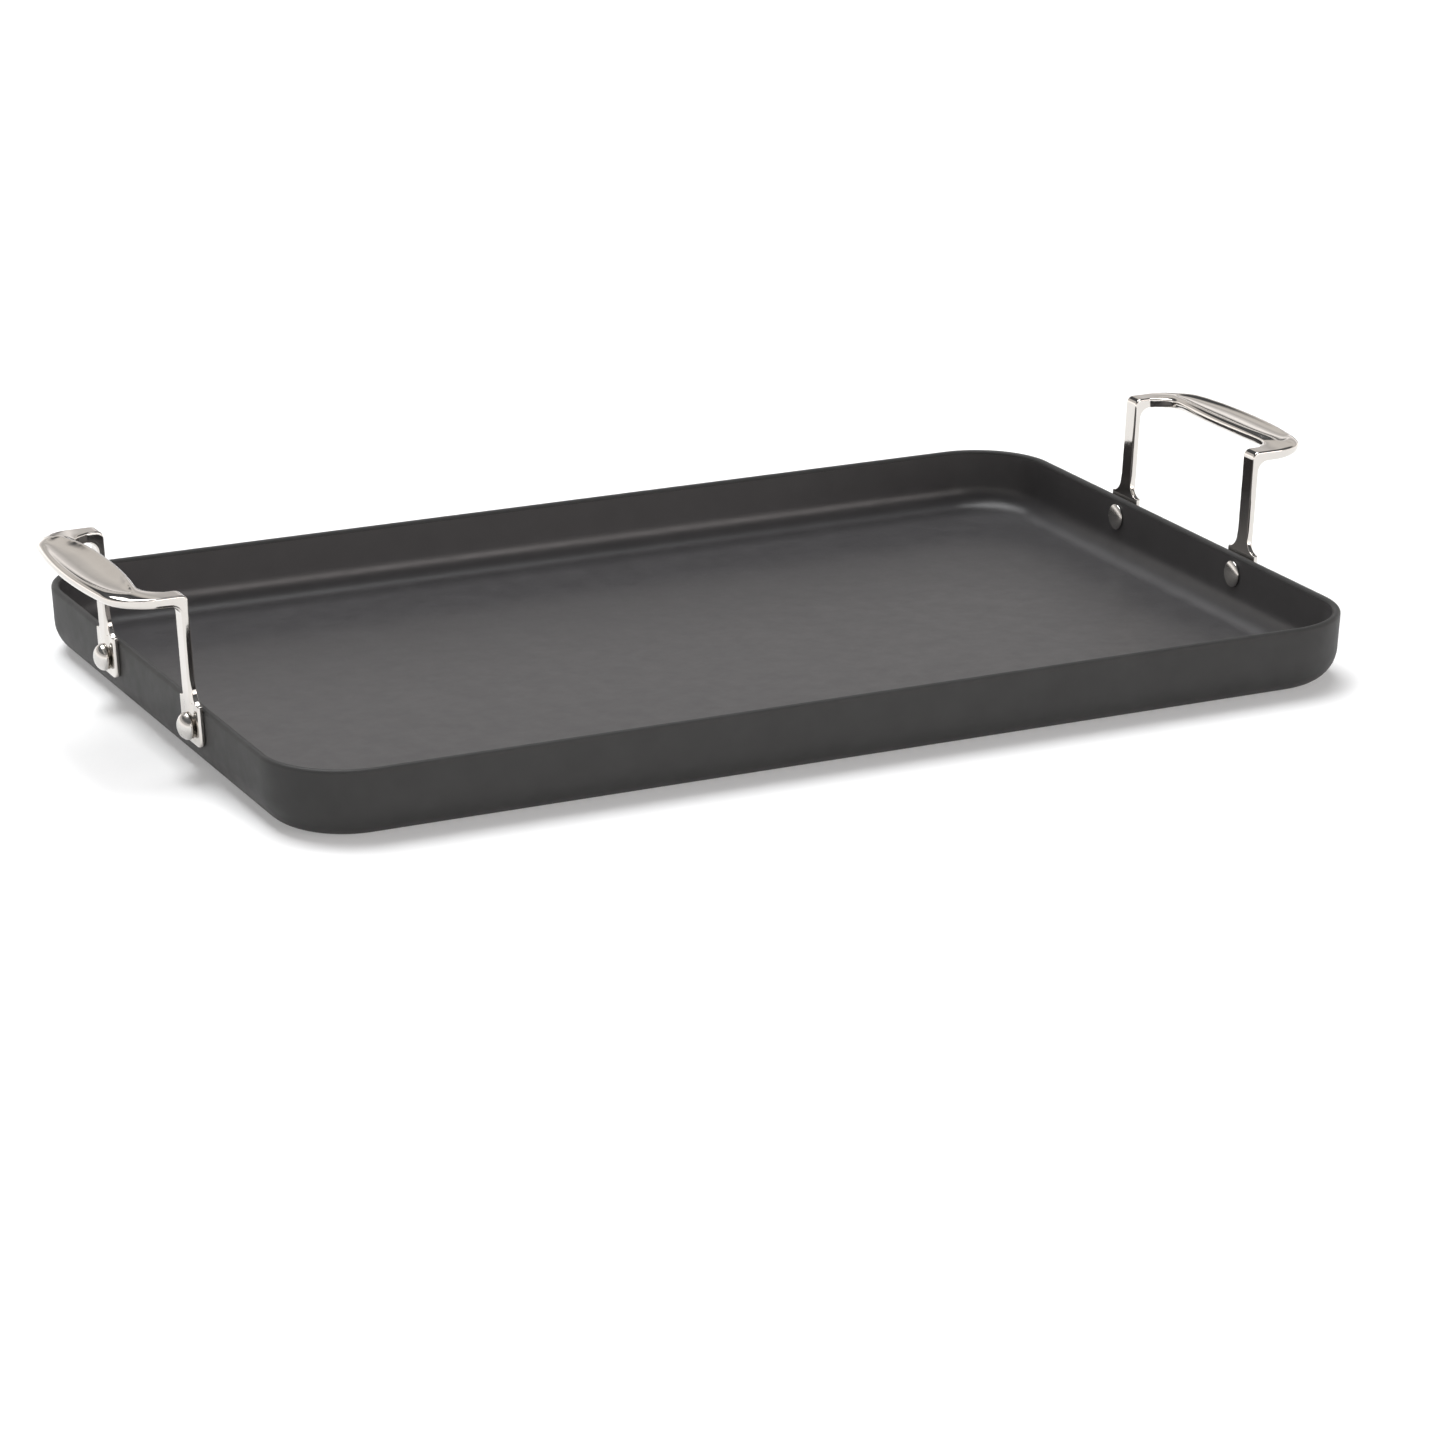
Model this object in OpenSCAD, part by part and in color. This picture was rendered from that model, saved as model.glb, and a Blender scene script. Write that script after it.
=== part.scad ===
// Two-burner griddle: a pressed, hard-anodised aluminium tray with a nonstick
// skin inside, and a polished cast loop handle riveted to each short end wall.
// Origin: middle of the flat underside. X runs along the length, Z is up.

/* [Tray] */
// Length over the rim
pan_l = 508; // [360:1:600]
// Width over the rim
pan_w = 330; // [240:1:400]
// Height from the underside to the top of the rim
pan_h = 31.5; // [28:0.5:45]
// Thickness of the aluminium sheet
sheet_t = 3.5; // [2.5:0.1:5]
// Plan radius of the four corners at the rim
corner_r = 38; // [32:1:60]
// Outer radius of the bend between floor and wall
bend_r = 15; // [11:0.5:17]
// Outward lean of the walls, in degrees
wall_lean = 3; // [0:0.5:5]
// Thickness of the nonstick skin
skin_t = 0.3; // [0.2:0.05:0.6]

/* [Handle] */
// Distance between the two rivets of a handle
rivet_gap = 106; // [90:1:140]
// Height of the rivets above the underside
rivet_z = 22; // [21.5:0.5:23]
// Height of the top of the short bars that join legs and grip
bar_top_z = 80; // [78:0.5:81]
// Height of the grip's thin edges, midway between them
grip_edge_z = 79; // [78:0.5:80]
// Reach of the grip beyond the rim
reach = 38.5; // [36:0.5:50]
// Width of a leg
leg_w = 9; // [7:0.5:12]
// Thickness of a leg and of the boss round a rivet
leg_t = 3.3; // [3:0.1:4]
// Thickness of a bar
bar_t = 4.6; // [3.5:0.1:5]
// Radius of the top of the corner between leg and bar
bend_top_r = 3; // [2:0.5:4]
// Radius of the hollow under the corner between leg and bar
bend_under_r = 5; // [3:0.5:6]
// Width of the grip at its middle
grip_w = 22.5; // [20:0.5:24]
// Height of the grip's crown above its edges
crown_h = 3.1; // [2.5:0.1:4]
// Depth of the grip's belly below its edges
belly_h = 4.7; // [4:0.1:6]
// Fall of the grip towards its outer edge, in degrees
grip_tilt = 5; // [0:1:8]

/* [Foot] */
// Width of the foot plate
foot_w = 22.5; // [18:0.5:26]
// Thickness of the foot plate
foot_t = 2.4; // [2:0.1:3]
// Height of the bottom edge of the foot plate
foot_low_z = 14.6; // [14.5:0.1:15]
// Height at which the foot plate starts to narrow towards the leg
foot_high_z = 33; // [32:0.5:40]
// Radius of the foot plate's bottom corners
foot_corner_r = 3.5; // [2:0.5:6]

/* [Rivets] */
// Radius of the shank
shank_r = 3.2; // [2.5:0.1:4]
// Radius of the outer dome
dome_r = 6; // [5:0.1:7]
// Height of the outer dome
dome_h = 4.8; // [2:0.1:5]
// Radius of the flat inner head
head_r = 6.2; // [5:0.1:7]
// Height of the flat inner head
head_h = 1.9; // [1:0.1:3]

/* [Hidden] */
$fn = 96;

// Clearance between a rivet's shank and its hole
hole_gap = 0.05;
// Length that a cutting shape runs past the solid that it cuts
over = 1;
// Keeps a leaning straight face just inside the arcs that it runs into
arc_inset = 0.002;

// Half lengths of the straight stretches between the corners
half_x = pan_l / 2 - corner_r;
half_y = pan_w / 2 - corner_r;

// Centre of the rounded rim, and centre of the bend, in the wall's section:
// the first value is the distance from a corner's axis, the second the height
rim_round_r = sheet_t / 2 + 2 * arc_inset;
rim_rise = pan_h - rim_round_r - bend_r;
bend_c = [corner_r - rim_round_r - rim_rise * tan(wall_lean)
          - (bend_r - rim_round_r) / cos(wall_lean), bend_r];
wall_len = rim_rise / cos(wall_lean) + (bend_r - rim_round_r) * tan(wall_lean);

// Distance from the bend's centre to the wall's outer face
wall_out_r = bend_r - arc_inset;

// Distance up the leaning wall's outer face, from the bend's centre to the height z
function along_wall(z) = (z - bend_r + wall_out_r * sin(wall_lean)) / cos(wall_lean);

// Distance out from a corner's axis at the height z, a gap away from the wall's face
function out_from_wall(z, gap) =
    bend_c[0] + (z - bend_r) * tan(wall_lean) + (wall_out_r + gap) / cos(wall_lean);

// Corner between leg and bar: centres of its top round and of the hollow under it
bend_top_z = bar_top_z - bend_top_r;
bend_under_z = bar_top_z - bar_t - bend_under_r;
bend_top_x = out_from_wall(bend_top_z, bend_top_r);
bend_under_x = out_from_wall(bend_under_z, leg_t + bend_under_r);

// Places in plan, from the object's middle
grip_out_x = pan_l / 2 + reach;
grip_mid_x = grip_out_x - grip_w / 2;
rivet_y = rivet_gap / 2;
grip_half_l = rivet_y + leg_w / 2 + 1;
gap_half_l = rivet_y - leg_w / 2;
// Radii of the grip's gently curved edges and of the corners
grip_out_r = 250;
grip_in_r = 300;
grip_corner_r = 20;
gap_corner_r = 9;
// How far the gap's corners reach outward from the middle of the grip's inner edge
gap_corner_reach = 4.5;
// How much the plan takes off the grip's thin edges, and how far the foot's neck
// runs in behind the leg
edge_trim = 0.7;
neck_tuck = 0.4;

// ---- shapes shared by the tray and its skin ----

// Section of a bent sheet: floor strip, quarter bend and leaning wall.
// r_out is the radius of the bend's outer face, rise the length of the wall.
module bent_section(r_out, thick, rise) {
    r_in = r_out - thick;
    difference() {
        union() {
            translate([0, bend_r - r_out]) square([bend_c[0], r_out]);
            translate(bend_c) circle(r = r_out);
            translate(bend_c) rotate(-wall_lean) square([r_out - arc_inset, rise]);
        }
        translate([-over, bend_r - r_in]) square([bend_c[0] + over, pan_h + over]);
        translate(bend_c) circle(r = r_in);
        translate(bend_c) rotate(-wall_lean)
            translate([-r_in, 0]) square([2 * r_in - arc_inset, rise + over]);
    }
}

// Carries the section round the tray: four straight sides and four corners
module around_tray() {
    for (turn = [0 : 3]) {
        side = turn % 2 == 0 ? [half_x, half_y] : [half_y, half_x];
        rotate([0, 0, 90 * turn]) {
            translate([side[0], 0, 0]) rotate([90, 0, 0])
                linear_extrude(height = 2 * side[1], center = true) children();
            translate([side[0], side[1], 0]) rotate_extrude(angle = 90) children();
        }
    }
}

// Flat middle of the floor
module floor_plate(z, thick) {
    translate([-half_x, -half_y, z]) cube([2 * half_x, 2 * half_y, thick]);
}

// Puts children at a rivet, with local Z pointing out of the wall's outer face
// and local Z = 0 on that face. end is +1 or -1 along X, side is +1 or -1 along Y.
module at_rivet(end, side) {
    mirror([end < 0 ? 1 : 0, 0, 0])
        translate([half_x + bend_c[0], side * rivet_y, bend_c[1]])
            rotate([0, wall_lean, 0])
                translate([wall_out_r, 0, along_wall(rivet_z)])
                    rotate([0, 90, 0]) children();
}

module rivet_holes(ends) {
    for (end = ends, side = [-1, 1])
        at_rivet(end, side)
            cylinder(h = 4 * bend_r, r = shank_r + hole_gap, center = true);
}

// ---- handle ----

// Leg, corner and short bar seen from the side, as one bent strip
module leg_and_bar_side() {
    bar_end = grip_out_x - grip_corner_r - half_x;
    leg_l = (bar_top_z - rivet_z) / cos(wall_lean);
    top_in = bend_top_r - arc_inset;
    under_in = bend_under_r - arc_inset;
    translate([half_x, 0]) difference() {
        union() {
            translate([bend_top_x, bend_top_z]) {
                circle(r = bend_top_r);
                rotate(-wall_lean) translate([-top_in, -leg_l])
                    square([bend_top_r + leg_t + bend_under_r, leg_l]);
            }
            translate([bend_top_x, bar_top_z - bar_t])
                square([bar_end - bend_top_x, bar_t]);
        }
        translate([bend_under_x, bend_under_z]) {
            circle(r = bend_under_r);
            rotate(-wall_lean) translate([-under_in, -leg_l - over])
                square([corner_r + reach, leg_l + over]);
        }
        translate([bend_under_x, 0]) square([bar_end, bend_under_z + bend_under_r]);
        square([bar_end, rivet_z]);
    }
}

// Foot plate seen from the side, lying against the wall's outer face
module foot_side() {
    translate([half_x + bend_c[0], bend_c[1]]) rotate(-wall_lean)
        translate([wall_out_r, 0]) square([foot_t, pan_h + foot_w]);
}

// Foot plate seen from the front, narrowing towards the leg in two hollow curves
module foot_front() {
    hollow_r = (foot_w - leg_w) / 2 + neck_tuck;
    difference() {
        union() {
            translate([-foot_w / 2, foot_low_z])
                rounded_box_2d([foot_w, foot_high_z - foot_low_z], foot_corner_r);
            translate([-foot_w / 2, foot_high_z - 2 * foot_corner_r])
                square([foot_w, hollow_r + 2 * foot_corner_r]);
        }
        for (side = [-1, 1])
            translate([side * foot_w / 2, foot_high_z + hollow_r]) circle(r = hollow_r);
    }
}

// Radius of an arc that rises by height over a chord of 2 * half
function arc_r(half, height) = (half * half + height * height) / (2 * height);

// Grip seen from the side: a low crown above a rounder belly
module grip_side() {
    half = grip_w / 2 + edge_trim;
    crown_r = arc_r(half, crown_h);
    belly_r = arc_r(half, belly_h);
    translate([grip_mid_x, grip_edge_z]) rotate(-grip_tilt) intersection() {
        translate([0, crown_h - crown_r]) circle(r = crown_r);
        translate([0, belly_r - belly_h]) circle(r = belly_r);
    }
}

module rounded_box_2d(size, r) {
    for (x = [r, size[0] - r], y = [r, size[1] - r]) translate([x, y]) circle(r = r);
    translate([r, 0]) square([size[0] - 2 * r, size[1]]);
    translate([0, r]) square([size[0], size[1] - 2 * r]);
}

// Grip seen from above: arched outside, and hollowed inside for the fingers
module grip_plan() {
    gap_reach = grip_out_x - grip_w + gap_corner_reach - half_x;
    difference() {
        intersection() {
            translate([grip_out_x - grip_out_r, 0]) circle(r = grip_out_r, $fn = 360);
            translate([half_x, -grip_half_l])
                rounded_box_2d([grip_out_x - half_x + over, 2 * grip_half_l], grip_corner_r);
        }
        difference() {
            translate([half_x - over, -gap_half_l])
                rounded_box_2d([gap_reach + over, 2 * gap_half_l], gap_corner_r);
            translate([grip_out_x - grip_w + grip_in_r, 0]) circle(r = grip_in_r, $fn = 360);
        }
    }
}

// Draws a side view (X across, Z up) out along Y, width wide and centred
module along_y(width) {
    rotate([90, 0, 0]) linear_extrude(height = width, center = true) children();
}

module handle() {
    difference() {
        union() {
            for (side = [-1, 1]) translate([0, side * rivet_y, 0]) {
                along_y(leg_w) leg_and_bar_side();
                intersection() {
                    along_y(foot_w + 2 * over) foot_side();
                    translate([half_x, 0, 0]) rotate([90, 0, 90])
                        linear_extrude(height = corner_r + reach) foot_front();
                }
            }
            for (side = [-1, 1]) at_rivet(1, side) cylinder(h = leg_t, r = dome_r);
            intersection() {
                along_y(2 * grip_half_l + 2 * over) grip_side();
                linear_extrude(height = 2 * grip_edge_z) grip_plan();
            }
        }
        rivet_holes([1]);
    }
}

// ---- rivet ----

// Low spherical cap standing on Z = 0
module cap(r, h) {
    ball_r = (r * r + h * h) / (2 * h);
    intersection() {
        translate([0, 0, h - ball_r]) sphere(r = ball_r);
        cylinder(h = h + over, r = r + over);
    }
}

// Shank through foot, sheet and skin, with a dome outside and a flat head inside
module rivet(end, side) {
    grip_len = sheet_t + skin_t;
    color("silver") at_rivet(end, side) {
        translate([0, 0, -grip_len]) cylinder(h = grip_len + leg_t, r = shank_r);
        translate([0, 0, leg_t]) cap(dome_r, dome_h);
        translate([0, 0, -grip_len]) mirror([0, 0, 1]) cap(head_r, head_h);
    }
}

// ---- the pieces ----

module griddle_pan() {
    color("#4c4b4b") difference() {
        union() {
            around_tray() bent_section(bend_r, sheet_t, wall_len);
            around_tray() translate([corner_r - rim_round_r, pan_h - rim_round_r])
                circle(r = rim_round_r, $fn = 48);
            floor_plate(0, sheet_t);
        }
        rivet_holes([-1, 1]);
    }
}

module nonstick_coating() {
    color("#3b3839") difference() {
        union() {
            around_tray() bent_section(bend_r - sheet_t, skin_t, wall_len);
            floor_plate(sheet_t, skin_t);
        }
        rivet_holes([-1, 1]);
    }
}

module right_handle() {
    color("#d8d4cc") handle();
}

module left_handle() {
    mirror([1, 0, 0]) color("#d8d4cc") handle();
}

module left_front_rivet() {
    rivet(-1, -1);
}

module left_rear_rivet() {
    rivet(-1, 1);
}

module right_front_rivet() {
    rivet(1, -1);
}

module right_rear_rivet() {
    rivet(1, 1);
}

griddle_pan();
nonstick_coating();
left_handle();
right_handle();
left_front_rivet();
left_rear_rivet();
right_front_rivet();
right_rear_rivet();
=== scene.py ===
"""Two-burner griddle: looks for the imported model. Metres, +Z up, X along the tray."""
import math

import bmesh
import bpy
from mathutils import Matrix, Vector


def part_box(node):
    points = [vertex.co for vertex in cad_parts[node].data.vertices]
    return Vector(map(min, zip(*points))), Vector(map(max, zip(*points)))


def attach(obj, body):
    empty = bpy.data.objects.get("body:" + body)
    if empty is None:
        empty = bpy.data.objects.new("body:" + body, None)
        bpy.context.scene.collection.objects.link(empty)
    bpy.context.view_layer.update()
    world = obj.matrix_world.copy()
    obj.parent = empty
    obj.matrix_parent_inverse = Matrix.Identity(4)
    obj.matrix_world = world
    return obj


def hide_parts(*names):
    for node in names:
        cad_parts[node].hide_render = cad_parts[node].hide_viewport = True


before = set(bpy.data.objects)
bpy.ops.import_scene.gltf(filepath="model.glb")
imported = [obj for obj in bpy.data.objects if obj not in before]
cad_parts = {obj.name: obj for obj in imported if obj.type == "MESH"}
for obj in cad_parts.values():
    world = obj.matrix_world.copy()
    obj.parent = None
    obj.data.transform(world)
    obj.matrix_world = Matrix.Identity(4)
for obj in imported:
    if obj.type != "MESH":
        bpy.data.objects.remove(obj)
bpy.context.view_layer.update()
MM = 0.001

# Sizes of the design that the frame's boxes don't give
SHEET_T = 3.5 * MM
SKIN_T = 0.3 * MM
WALL_LEAN = math.radians(3)
CORNER_R = 38 * MM
BEND_R = 15 * MM
LEG_W = 9 * MM
LEG_T = 3.3 * MM
BAR_T = 4.6 * MM
BEND_TOP_R = 3 * MM
BEND_UNDER_R = 5 * MM
BAR_TOP_Z = 80 * MM
FOOT_T = 2.4 * MM
FOOT_HIGH_Z = 33 * MM
FOOT_CORNER_R = 3.5 * MM
GRIP_EDGE_Z = 79 * MM
GRIP_W = 22.5 * MM
GRIP_TILT = math.radians(5)
GRIP_OUT_R = 250 * MM
GRIP_IN_R = 300 * MM
GRIP_CORNER_R = 20 * MM
GAP_CORNER_R = 11 * MM
GRIP_RIM_H = 2.3 * MM      # grip's raised rim above its widest line
DISH_DEPTH = 2.0 * MM      # thumb dish below that rim
DISH_SHARE = 0.8           # part of the grip's width that the dish takes up
DISH_HALF_LEN = 46 * MM
BELLY_H = 4.6 * MM
EDGE_R = 0.9 * MM          # softened edges of the casting
FOOT_BACK_R = 0.3 * MM     # softened edges of the foot against the wall
RIDGE_SIDE = 0.3 * MM      # where the leg's ridge on the foot starts to rise, past its side
RIDGE_RAMP = 0.9 * MM
RIDGE_END = 4 * MM         # height over which the ridge fades in at the foot's bottom
RIVET_LIP = 0.3 * MM
SKIN_EDGE = 0.1            # skin's thickness at the rim, as a part of the full one
SHARP = math.radians(60)   # edges that turn by more than this shade as sharp
DOME_R = 6 * MM
DOME_H = 4.8 * MM
SHANK_R = 3.2 * MM
HEAD_R = 6.2 * MM
HEAD_H = 1.9 * MM

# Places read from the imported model
PAN_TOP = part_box("griddle_pan")[1]
HANDLE_LOW, HANDLE_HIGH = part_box("right_handle")
RIVET_LOW, RIVET_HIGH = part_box("right_rear_rivet")
RIVET_Y = (RIVET_LOW.y + RIVET_HIGH.y) / 2
RIVET_Z = (RIVET_LOW.z + RIVET_HIGH.z) / 2
FOOT_W = 2 * (HANDLE_HIGH.y - RIVET_Y)
HALF_X = PAN_TOP.x - CORNER_R
HALF_Y = PAN_TOP.y - CORNER_R

# The wall's section: distances out from a corner's axis, and heights
RIM_R = SHEET_T / 2
WALL_OUT = Vector((math.cos(WALL_LEAN), -math.sin(WALL_LEAN)))
WALL_UP = Vector((math.sin(WALL_LEAN), math.cos(WALL_LEAN)))
RIM_C = Vector((CORNER_R - RIM_R, PAN_TOP.z - RIM_R))
BEND_C = Vector((RIM_C.x - (RIM_C.y - BEND_R) * math.tan(WALL_LEAN)
                 - (BEND_R - RIM_R) / math.cos(WALL_LEAN), BEND_R))
WALL_LEN = (RIM_C - BEND_C).dot(WALL_UP)


# ---------------------------------------------------------------- small helpers

def lerp(a, b, t):
    return a + (b - a) * t


def smooth(t):
    t = min(max(t, 0.0), 1.0)
    return t * t * (3 - 2 * t)


def arc(centre, radius, start, end, steps):
    """Points along an arc in a plane, angles in degrees, both ends included."""
    angles = [math.radians(lerp(start, end, i / steps)) for i in range(steps + 1)]
    return [Vector((centre[0] + radius * math.cos(a), centre[1] + radius * math.sin(a)))
            for a in angles]


def line(start, end, steps):
    """Points along a line, without its first one."""
    return [Vector(start).lerp(Vector(end), i / steps) for i in range(1, steps + 1)]


def chain(points, count):
    """count + 1 points evenly spaced along a polyline."""
    lengths = [0.0]
    for a, b in zip(points, points[1:]):
        lengths.append(lengths[-1] + (b - a).length)
    spaced = []
    k = 0
    for i in range(count + 1):
        want = lengths[-1] * i / count
        while k < len(points) - 2 and lengths[k + 1] < want:
            k += 1
        t = (want - lengths[k]) / (lengths[k + 1] - lengths[k])
        spaced.append(points[k].lerp(points[k + 1], t))
    return spaced


def mesh_piece(name, rings, material, node):
    """Closed piece over a row of equal rings, with a cap at each end. It replaces a CAD node."""
    size = len(rings[0])
    work = bmesh.new()
    rows = [[work.verts.new(p) for p in ring] for ring in rings]
    for low, high in zip(rows, rows[1:]):
        for i in range(size):
            j = (i + 1) % size
            work.faces.new((low[i], low[j], high[j], high[i]))
    work.faces.new(rows[0][::-1])
    work.faces.new(rows[-1])
    bmesh.ops.recalc_face_normals(work, faces=work.faces)
    for edge in work.edges:
        edge.smooth = edge.calc_face_angle() < SHARP
    mesh = bpy.data.meshes.new(name)
    work.to_mesh(mesh)
    work.free()
    for polygon in mesh.polygons:
        polygon.use_smooth = True
    mesh.materials.append(material)
    piece = bpy.data.objects.new(name, mesh)
    bpy.context.scene.collection.objects.link(piece)
    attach(piece, "root")
    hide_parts(node)
    return piece


def mirrored(rings, flip):
    return [[Vector((p.x * flip[0], p.y * flip[1], p.z)) for p in ring] for ring in rings]


# ---------------------------------------------------------------- materials

def new_material(name, color, metallic, roughness):
    mat = bpy.data.materials.new(name)
    mat.use_nodes = True
    shader = mat.node_tree.nodes["Principled BSDF"]
    shader.inputs["Base Color"].default_value = (*color, 1)
    shader.inputs["Metallic"].default_value = metallic
    shader.inputs["Roughness"].default_value = roughness
    return mat, mat.node_tree, shader


def object_coords(tree, scale=(1, 1, 1)):
    coords = tree.nodes.new("ShaderNodeTexCoord")
    mapping = tree.nodes.new("ShaderNodeMapping")
    mapping.inputs["Scale"].default_value = scale
    tree.links.new(coords.outputs["Object"], mapping.inputs["Vector"])
    return mapping.outputs["Vector"]


def noise(tree, vector, scale, detail=3.0, rough=0.55):
    n = tree.nodes.new("ShaderNodeTexNoise")
    n.inputs["Scale"].default_value = scale
    n.inputs["Detail"].default_value = detail
    n.inputs["Roughness"].default_value = rough
    tree.links.new(vector, n.inputs["Vector"])
    return n.outputs["Fac"]


def spread(tree, value, low, high, from_low=0.3, from_high=0.7):
    m = tree.nodes.new("ShaderNodeMapRange")
    m.inputs["From Min"].default_value = from_low
    m.inputs["From Max"].default_value = from_high
    m.inputs["To Min"].default_value = low
    m.inputs["To Max"].default_value = high
    tree.links.new(value, m.inputs["Value"])
    return m.outputs["Result"]


def mix_colors(tree, factor, dark, light):
    m = tree.nodes.new("ShaderNodeMix")
    m.data_type = "RGBA"
    colors = [s for s in m.inputs if s.type == "RGBA"]
    colors[0].default_value = (*dark, 1)
    colors[1].default_value = (*light, 1)
    tree.links.new(factor, m.inputs["Factor"])
    return [s for s in m.outputs if s.type == "RGBA"][0]


def bump(tree, height, strength, distance, below=None):
    b = tree.nodes.new("ShaderNodeBump")
    b.inputs["Strength"].default_value = strength
    b.inputs["Distance"].default_value = distance
    tree.links.new(height, b.inputs["Height"])
    if below is not None:
        tree.links.new(below, b.inputs["Normal"])
    return b.outputs["Normal"]


def satin_material(name, dark, light, rough_low, rough_high, gloss, grain_scale):
    """Dark satin surface: mottled, unevenly rough, with a fine grain and slight waves."""
    mat, tree, shader = new_material(name, light, 0.0, rough_high)
    shader.inputs["Specular IOR Level"].default_value = gloss
    at = object_coords(tree)
    mottle = noise(tree, at, 70.0, 5.0)
    tree.links.new(mix_colors(tree, spread(tree, mottle, 0, 1), dark, light),
                   shader.inputs["Base Color"])
    tree.links.new(spread(tree, noise(tree, at, 120.0, 4.0), rough_low, rough_high),
                   shader.inputs["Roughness"])
    grain = bump(tree, noise(tree, at, grain_scale, 2.0), 0.12, 0.0001)
    tree.links.new(bump(tree, noise(tree, at, 7.0, 1.0), 0.015, 0.002, grain),
                   shader.inputs["Normal"])
    return mat


def steel_material(name, color, rough_low, rough_high, ripple):
    """Polished stainless steel with a faint polishing ripple, hairlines and slight wear."""
    mat, tree, shader = new_material(name, color, 1.0, rough_low)
    at = object_coords(tree)
    tree.links.new(spread(tree, noise(tree, at, 90.0, 5.0, 0.65), rough_low, rough_high),
                   shader.inputs["Roughness"])
    worn = tuple(c * 0.93 for c in color)
    tree.links.new(mix_colors(tree, spread(tree, noise(tree, at, 35.0, 3.0), 0, 1), color, worn),
                   shader.inputs["Base Color"])
    hairs = noise(tree, object_coords(tree, (1, 0.04, 1)), 2400.0, 2.0)
    fine = bump(tree, hairs, 0.03, 0.00005)
    tree.links.new(bump(tree, noise(tree, at, 110.0, 2.0), ripple, 0.0006, fine),
                   shader.inputs["Normal"])
    return mat


# ---------------------------------------------------------------- tray and its skin

CORNER_STEPS = 28
SIDE_STEPS = 24
BEND_STEPS = 12
WALL_STEPS = 6
RIM_STEPS = 14
FLOOR_STEPS = 6


def loop(out, z):
    """Rounded rectangle at a distance out from the corners' axes."""
    points = []
    for turn in range(4):
        sign_x = 1 if turn in (0, 3) else -1
        sign_y = 1 if turn in (0, 1) else -1
        corner = arc((sign_x * HALF_X, sign_y * HALF_Y), out, 90 * turn, 90 * turn + 90,
                     CORNER_STEPS)
        points += [Vector((p.x, p.y, z)) for p in corner]
        following = ((-HALF_X, HALF_Y + out), (-HALF_X - out, -HALF_Y),
                     (HALF_X, -HALF_Y - out), (HALF_X + out, HALF_Y))[turn]
        points += line(points[-1], (*following, z), SIDE_STEPS)[:-1]
    return points


def floor_loops(z):
    """Loops of the flat floor, from its middle out to the bend."""
    edge = loop(BEND_C.x, z)
    sizes = [(k + 0.5) / (FLOOR_STEPS + 0.5) for k in range(FLOOR_STEPS)]
    return [[Vector((p.x * s, p.y * s, z)) for p in edge] for s in sizes]


def bend_and_wall(radius):
    """One face of the sheet: up the bend and the wall, as section points."""
    bend = arc(BEND_C, radius, -90, -math.degrees(WALL_LEAN), BEND_STEPS)
    return bend + line(bend[-1], bend[-1] + WALL_UP * WALL_LEN, WALL_STEPS)


def make_tray():
    """Pressed sheet: floor, bend, leaning walls and a round rim."""
    outside = bend_and_wall(BEND_R)
    lean = math.degrees(WALL_LEAN)
    rim = arc(RIM_C, RIM_R, -lean, 180 - lean, RIM_STEPS)[1:-1]
    inside = bend_and_wall(BEND_R - SHEET_T)[::-1]
    rings = floor_loops(0) + [loop(*p) for p in outside + rim + inside]
    rings += floor_loops(SHEET_T)[::-1]
    mesh_piece("pressed_tray", rings, ANODISED, "griddle_pan")


def make_coating():
    """Skin over the tray's inside, thinning out towards the rim."""
    outside = bend_and_wall(BEND_R - SHEET_T)
    inside = bend_and_wall(BEND_R - SHEET_T - SKIN_T)[::-1]
    for k in range(WALL_STEPS):
        thickness = lerp(SKIN_EDGE, 1.0, k / WALL_STEPS)
        inside[k] = outside[-1 - k].lerp(inside[k], thickness)
    rings = floor_loops(SHEET_T) + [loop(*p) for p in outside + inside]
    rings += floor_loops(SHEET_T + SKIN_T)[::-1]
    mesh_piece("nonstick_skin", rings, NONSTICK, "nonstick_coating")


# ---------------------------------------------------------------- handles

STATIONS = 24      # steps across one face of a handle's section
GRIP_STEPS = 56    # sections from the start of the bar to the grip's middle
WALL_OUT_3D = Vector((WALL_OUT.x, 0, WALL_OUT.y))
WALL_UP_3D = Vector((WALL_UP.x, 0, WALL_UP.y))
WALL_BASE = Vector((HALF_X + BEND_C.x, 0, BEND_C.y)) + WALL_OUT_3D * BEND_R
BEND_TOP_Z = BAR_TOP_Z - BEND_TOP_R
BEND_UNDER_Z = BAR_TOP_Z - BAR_T - BEND_UNDER_R


def across_stations():
    """Positions from -1 to 1 across a face, closer together towards its edges."""
    return [math.sin(math.pi * (k / STATIONS - 0.5)) for k in range(STATIONS + 1)]


def softened(u, half_w, half_t, radius):
    """Height of a flat face with its edges rounded off, at the position u across it."""
    over = max(abs(u) * half_w - (half_w - radius), 0.0)
    return half_t - radius + math.sqrt(max(radius ** 2 - over ** 2, 0.0))


def section(centre, across, up, upper, lower):
    """Ring of points: upper(u) and lower(u) give the heights of the two faces."""
    stations = across_stations()
    ring = [centre + across * u + up * upper(u) for u in stations]
    return ring + [centre + across * u - up * lower(u) for u in reversed(stations)]


def wall_point(z, gap):
    """Point at the height z, a gap away from the wall's outer face, in line with a rivet."""
    along = (z - WALL_BASE.z + gap * math.sin(WALL_LEAN)) / math.cos(WALL_LEAN)
    return WALL_BASE + WALL_UP_3D * along + WALL_OUT_3D * gap + Vector((0, RIVET_Y, 0))


BAR_START_X = wall_point(BEND_UNDER_Z, LEG_T + BEND_UNDER_R).x


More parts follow.
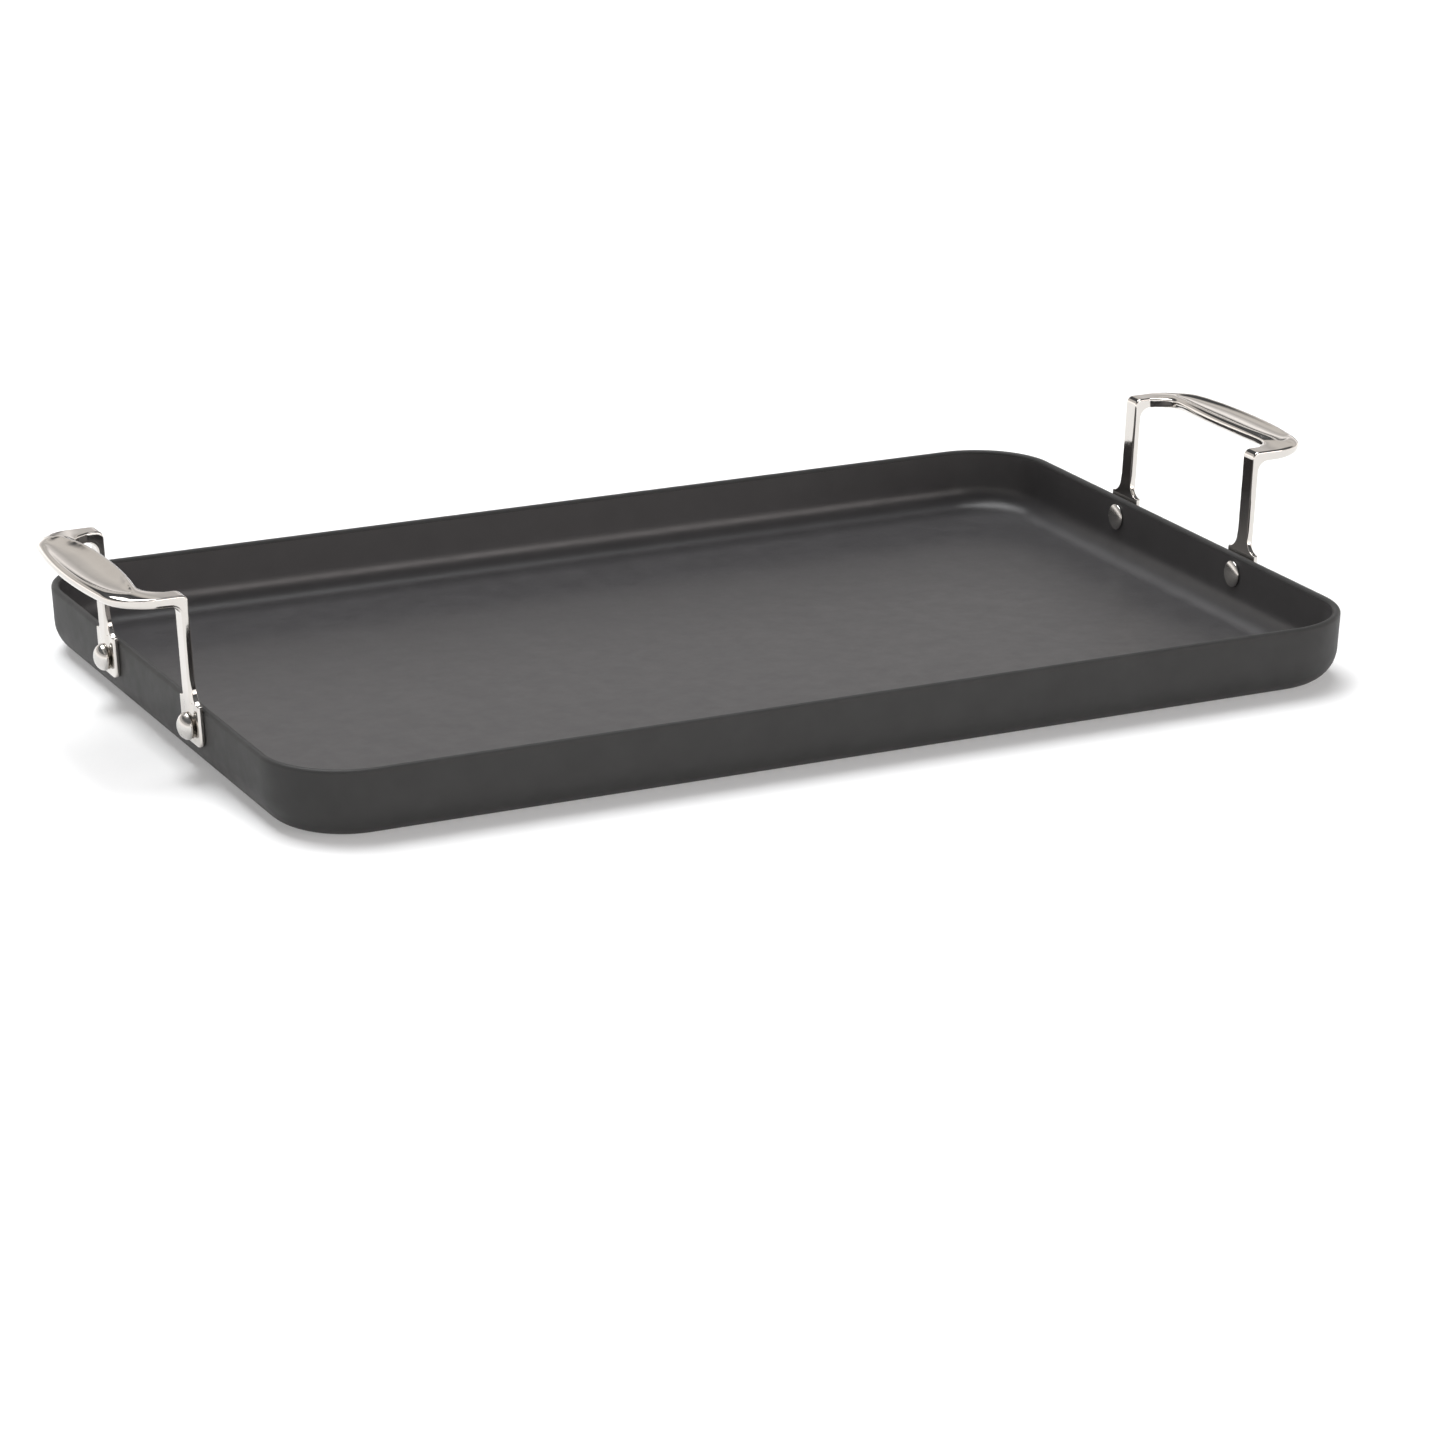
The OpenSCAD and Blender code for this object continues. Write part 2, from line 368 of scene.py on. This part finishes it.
def foot_half_width(z):
    """Half width of the foot plate: round bottom corners, and hollow shoulders."""
    full = FOOT_W / 2
    hollow = full - LEG_W / 2
    if z < HANDLE_LOW.z + FOOT_CORNER_R:
        drop = FOOT_CORNER_R - (z - HANDLE_LOW.z)
        return full - FOOT_CORNER_R + math.sqrt(max(FOOT_CORNER_R ** 2 - drop ** 2, 0.0))
    if z < FOOT_HIGH_Z:
        return full
    rise = max(FOOT_HIGH_Z + hollow - z, 0.0)
    return full - math.sqrt(max(hollow ** 2 - rise ** 2, 0.0))


def foot_heights():
    """Heights at which the foot is cut into sections, close together where it turns."""
    hollow = (FOOT_W - LEG_W) / 2
    low = HANDLE_LOW.z
    bottom = [low + FOOT_CORNER_R * (1 - math.cos(math.radians(a))) for a in range(0, 91, 15)]
    plate = [lerp(bottom[-1], FOOT_HIGH_Z, k / 9) for k in range(1, 10)]
    shoulder = [FOOT_HIGH_Z + hollow * (1 - math.cos(math.radians(a)))
                for a in (4, 10, 18, 26, 34, 42, 50, 58, 66, 74, 82, 90)]
    return bottom + plate + shoulder


def foot_ring(z):
    """Section of the foot plate, with the leg's ridge running down over it."""
    half_w = foot_half_width(z)
    ridge_h = (LEG_T - FOOT_T) * smooth((z - HANDLE_LOW.z) / RIDGE_END)

    def outboard(u):
        inside_leg = (LEG_W / 2 + RIDGE_SIDE - abs(u) * half_w) / RIDGE_RAMP
        plate = softened(u, half_w, FOOT_T - LEG_T / 2, min(EDGE_R, FOOT_T / 2))
        return plate + ridge_h * smooth(inside_leg)

    def wall_side(u):
        return softened(u, half_w, LEG_T / 2, FOOT_BACK_R)

    middle = wall_point(z, 0) + WALL_OUT_3D * (LEG_T / 2)
    return section(middle, Vector((0, half_w, 0)), -WALL_OUT_3D, wall_side, outboard)


def strip_section(top, under, across):
    """Section of the leg, corner or bar between a point of its top side and one below."""
    up = (top - under).normalized()
    half_t = (top - under).length / 2
    half_w = across.length

    def face(u):
        return softened(u, half_w, half_t, EDGE_R)

    return section((top + under) / 2, across, up, face, face)


def leg_rings():
    """Leg from the foot's shoulder to the corner, then round it to the start of the bar."""
    shoulder = foot_heights()[-1]
    top_c = wall_point(BEND_TOP_Z, BEND_TOP_R)
    under_c = wall_point(BEND_UNDER_Z, LEG_T + BEND_UNDER_R)
    lean = math.degrees(WALL_LEAN)
    top_side = [wall_point(z, 0) for z in (shoulder, BEND_UNDER_Z)]
    under_side = [wall_point(z, LEG_T) for z in (shoulder, BEND_UNDER_Z)]
    pairs = list(zip(chain(top_side, 9)[1:], chain(under_side, 9)[1:]))
    top_arc = arc((top_c.x, top_c.z), BEND_TOP_R, 180 - lean, 90, 10)
    under_arc = arc((under_c.x, under_c.z), BEND_UNDER_R, 180 - lean, 90, 10)
    top_path = [pairs[-1][0]] + [Vector((p.x, RIVET_Y, p.y)) for p in top_arc]
    top_path.append(Vector((under_c.x, RIVET_Y, BAR_TOP_Z)))
    under_path = [Vector((p.x, RIVET_Y, p.y)) for p in under_arc]
    pairs += list(zip(chain(top_path, 14)[1:], chain(under_path, 14)[1:]))
    across = Vector((0, LEG_W / 2, 0))
    return [strip_section(top, under, across) for top, under in pairs]


def grip_outer_edge():
    """Plan of the outer edge, from the start of the bar to the middle of the grip."""
    big_c = HANDLE_HIGH.x - GRIP_OUT_R
    corner_y = RIVET_Y + LEG_W / 2 - GRIP_CORNER_R
    corner_x = big_c + math.sqrt((GRIP_OUT_R - GRIP_CORNER_R) ** 2 - corner_y ** 2)
    meet = math.degrees(math.atan2(corner_y, corner_x - big_c))
    points = [Vector((BAR_START_X, RIVET_Y + LEG_W / 2))]
    points += arc((corner_x, corner_y), GRIP_CORNER_R, 90, meet, 16)
    return points + arc((big_c, 0), GRIP_OUT_R, meet, 0, 16)[1:]


def grip_inner_edge():
    """Plan of the inner edge, from the start of the bar to the middle of the grip."""
    big_c = HANDLE_HIGH.x - GRIP_W + GRIP_IN_R
    corner_y = RIVET_Y - LEG_W / 2 - GAP_CORNER_R
    corner_x = big_c - math.sqrt((GRIP_IN_R + GAP_CORNER_R) ** 2 - corner_y ** 2)
    meet = -math.degrees(math.atan2(corner_y, big_c - corner_x))
    start = math.degrees(math.acos((BAR_START_X - corner_x) / GAP_CORNER_R))
    points = arc((corner_x, corner_y), GAP_CORNER_R, start, meet, 12)
    return points + arc((big_c, 0), GRIP_IN_R, 180 + meet, 180, 16)[1:]


def grip_faces(grow, dish, half_w):
    """Heights of the grip's two faces; grow runs from the bar, 0, to the full grip, 1."""
    def top(u):
        bar = softened(u, half_w, BAR_T / 2, EDGE_R)
        a = abs(u)
        if a < dish:
            full = GRIP_RIM_H - DISH_DEPTH * dish * (1 - (a / dish) ** 2.6)
        else:
            full = GRIP_RIM_H * math.sqrt(max(1 - ((a - dish) / (1 - dish)) ** 2, 0.0))
        return lerp(bar, full, grow)

    def under(u):
        bar = softened(u, half_w, BAR_T / 2, EDGE_R)
        return lerp(bar, BELLY_H * (1 - abs(u) ** 2.4) ** (1 / 2.2), grow)

    return top, under


def grip_ring(outer, inner):
    """Section of the bar or grip between two points of its edges in plan."""
    run = (outer - inner) / 2
    grow = smooth((2 * run.length - LEG_W) / (GRIP_W - LEG_W))
    mid = (outer + inner) / 2
    dish = DISH_SHARE * math.sqrt(max(1 - (abs(mid.y) / DISH_HALF_LEN) ** 4, 0.0))
    across = Vector((run.x, run.y, -math.tan(GRIP_TILT) * grow * run.x))
    up = across.cross(Vector((run.y, -run.x, 0))).normalized()
    if up.z < 0:
        up = -up
    centre = Vector((mid.x, mid.y, lerp(BAR_TOP_Z - BAR_T / 2, GRIP_EDGE_Z, grow)))
    top, under = grip_faces(grow, dish, run.length)
    return section(centre, across, up, top, under)


def grip_rings():
    """Bar, corner and grip, up to the grip's middle."""
    edges = zip(chain(grip_outer_edge(), GRIP_STEPS), chain(grip_inner_edge(), GRIP_STEPS))
    return [grip_ring(outer, inner) for outer, inner in list(edges)[1:]]


def make_handle(name, node, end):
    half = [foot_ring(z) for z in foot_heights()] + leg_rings() + grip_rings()
    rings = half + mirrored(half[:-1], (1, -1))[::-1]
    piece = mesh_piece(name, mirrored(rings, (end, 1)), STEEL, node)
    rounding = piece.modifiers.new("rounding", "SUBSURF")
    rounding.levels = 1
    rounding.render_levels = 1


# ---------------------------------------------------------------- rivets

LATHE = 48         # points round a rivet


def rivet_profile():
    """Half section from the dome's top to the inner head's top: (radius, height off the wall)."""
    inside = -(SHEET_T + SKIN_T)
    lip = RIVET_LIP
    steps = [math.radians(6 * k) for k in range(16)]
    dome = [(DOME_R * math.sin(a), LEG_T + lip + (DOME_H - lip) * math.cos(a)) for a in steps]
    under_dome = [(DOME_R - lip, LEG_T), (SHANK_R, LEG_T)]
    head = [(HEAD_R - lip, inside), (HEAD_R, inside - lip)]
    head += [(HEAD_R * math.sin(a), inside - lip - (HEAD_H - lip) * math.cos(a))
             for a in steps[-2::-1]]
    return dome + under_dome + [(SHANK_R, inside)] + head


def make_rivet(node, end, side):
    centre = wall_point(RIVET_Z, 0)
    origin = Vector((centre.x, side * RIVET_Y, centre.z))
    turns = [2 * math.pi * i / LATHE for i in range(LATHE)]
    rings = []
    for radius, height in rivet_profile():
        radius = max(radius, 0.01 * MM)
        rings.append([origin + WALL_OUT_3D * height + WALL_UP_3D * (radius * math.cos(a))
                      + Vector((0, radius * math.sin(a), 0)) for a in turns])
    mesh_piece(node + "_headed", mirrored(rings, (end, 1)), RIVET_STEEL, node)


def make_griddle():
    make_tray()
    make_coating()
    for end, end_name in ((-1, "left"), (1, "right")):
        make_handle(end_name + "_cast_handle", end_name + "_handle", end)
        for side, side_name in ((-1, "front"), (1, "rear")):
            make_rivet(f"{end_name}_{side_name}_rivet", end, side)


# ---------------------------------------------------------------- stage

WALL_LIGHT = 1.75
FLAGGED_LIGHT = 0.12
HIGH_BOX_LIGHT = 9.4
FRONT_BOX_LIGHT = 7.0
CAMERA_AZIMUTH = math.radians(25.78)
CAMERA_ELEVATION = math.radians(18.25)
CAMERA_DISTANCE = 2.163
CAMERA_TARGET = Vector((-0.0257, -0.0862, 0))
FLOOR_HALF = 12.0
FLOOR_DROP = 0.05 * MM     # keeps the floor clear of the tray's underside


def make_floor():
    size = FLOOR_HALF
    mesh = bpy.data.meshes.new("floor")
    mesh.from_pydata([(-size, -size, 0), (size, -size, 0), (size, size, 0), (-size, size, 0)],
                     [], [(0, 1, 2, 3)])
    mat, tree, shader = new_material("floor_paint", (0.72, 0.72, 0.72), 0.0, 0.9)
    shader.inputs["Specular IOR Level"].default_value = 0.0
    shader.inputs["Emission Color"].default_value = (1, 1, 1, 1)
    shader.inputs["Emission Strength"].default_value = 0.25
    mesh.materials.append(mat)
    floor = bpy.data.objects.new("floor", mesh)
    floor.location.z = -FLOOR_DROP
    bpy.context.scene.collection.objects.link(floor)


def world_math(tree, operation, first, second=None):
    n = tree.nodes.new("ShaderNodeMath")
    n.operation = operation
    for socket, value in zip(n.inputs, (first, second)):
        if isinstance(value, (int, float)):
            socket.default_value = value
        elif value is not None:
            tree.links.new(value, socket)
    return n.outputs[0]


def softbox(tree, sides, towards, middle, half, edge=0.06):
    """Rectangle of light, placed and sized by the slopes of the directions to it."""
    mask = 1.0
    for side, m, h in zip(sides, middle, half):
        slope = world_math(tree, "DIVIDE", side, world_math(tree, "MAXIMUM", towards, 0.05))
        off = world_math(tree, "ABSOLUTE", world_math(tree, "SUBTRACT", slope, m))
        inside = spread(tree, off, 1.0, 0.0, h - edge, h + edge)
        mask = world_math(tree, "MULTIPLY", inside, mask)
    return mask


def background(tree, color, strength):
    n = tree.nodes.new("ShaderNodeBackground")
    n.inputs["Color"].default_value = (*color, 1)
    tree.links.new(strength, n.inputs["Strength"])
    return n.outputs[0]


def add_light(tree, one, other):
    n = tree.nodes.new("ShaderNodeAddShader")
    tree.links.new(one, n.inputs[0])
    tree.links.new(other, n.inputs[1])
    return n.outputs[0]


def make_world():
    """Studio: pale low walls with a dark flag at the back, dark above, and two softboxes."""
    world = bpy.data.worlds.new("studio")
    world.use_nodes = True
    tree = world.node_tree
    coords = tree.nodes.new("ShaderNodeTexCoord")
    split = tree.nodes.new("ShaderNodeSeparateXYZ")
    tree.links.new(coords.outputs["Generated"], split.inputs["Vector"])
    x, y, z = (split.outputs[axis] for axis in "XYZ")
    ramp = tree.nodes.new("ShaderNodeValToRGB")
    stops = ramp.color_ramp.elements
    bands = [(0.0, (1.0, 0.965, 0.94)), (0.13, (0.95, 0.915, 0.89)), (0.22, (0.48, 0.46, 0.45)),
             (0.30, (0.33, 0.32, 0.31)), (0.37, (0.46, 0.44, 0.42)), (0.43, (0.44, 0.42, 0.40)),
             (0.50, (0.04, 0.042, 0.045)), (1.0, (0.12, 0.122, 0.125))]
    while len(stops) < len(bands):
        stops.new(0.5)
    for stop, (height, color) in zip(stops, bands):
        stop.position = height
        stop.color = (*color, 1)
    tree.links.new(z, ramp.inputs["Fac"])
    flag = softbox(tree, (x, z), y, (0.75, 0.03), (0.5, 0.12))
    walls = tree.nodes["Background"]
    tree.links.new(ramp.outputs["Color"], walls.inputs["Color"])
    tree.links.new(spread(tree, flag, WALL_LIGHT, FLAGGED_LIGHT, 0.0, 1.0), walls.inputs["Strength"])
    high = softbox(tree, (x, y), z, (-0.05, 0.42), (0.34, 0.40))
    high = background(tree, (0.98, 0.99, 1), world_math(tree, "MULTIPLY", high, HIGH_BOX_LIGHT))
    front = world_math(tree, "MULTIPLY", y, -1.0)
    low = softbox(tree, (x, z), front, (0.55, 0.36), (0.5, 0.11))
    low = background(tree, (1, 0.93, 0.92), world_math(tree, "MULTIPLY", low, FRONT_BOX_LIGHT))
    light = add_light(tree, add_light(tree, walls.outputs[0], high), low)
    tree.links.new(light, tree.nodes["World Output"].inputs["Surface"])
    bpy.context.scene.world = world


def make_camera():
    look = Vector((math.sin(CAMERA_AZIMUTH) * math.cos(CAMERA_ELEVATION),
                   math.cos(CAMERA_AZIMUTH) * math.cos(CAMERA_ELEVATION),
                   -math.sin(CAMERA_ELEVATION)))
    data = bpy.data.cameras.new("camera")
    data.lens = 124.86
    data.sensor_width = 36
    data.clip_end = 50
    camera = bpy.data.objects.new("camera", data)
    camera.location = CAMERA_TARGET - look * CAMERA_DISTANCE
    camera.rotation_euler = look.to_track_quat("-Z", "Y").to_euler()
    bpy.context.scene.collection.objects.link(camera)
    bpy.context.scene.camera = camera


def set_display():
    view = bpy.context.scene.view_settings
    view.view_transform = "Standard"
    view.look = "None"


ANODISED = satin_material("anodised_aluminium", (0.029, 0.0287, 0.0283), (0.034, 0.0337, 0.0333),
                          0.50, 0.58, 0.22, 2600.0)
NONSTICK = satin_material("nonstick", (0.035, 0.0335, 0.0348), (0.040, 0.0385, 0.0398),
                          0.35, 0.42, 0.45, 1700.0)
STEEL = steel_material("polished_steel", (0.66, 0.63, 0.595), 0.04, 0.10, 0.05)
RIVET_STEEL = steel_material("rivet_steel", (0.60, 0.585, 0.56), 0.17, 0.28, 0.10)

make_camera()
make_griddle()
make_floor()
make_world()
set_display()
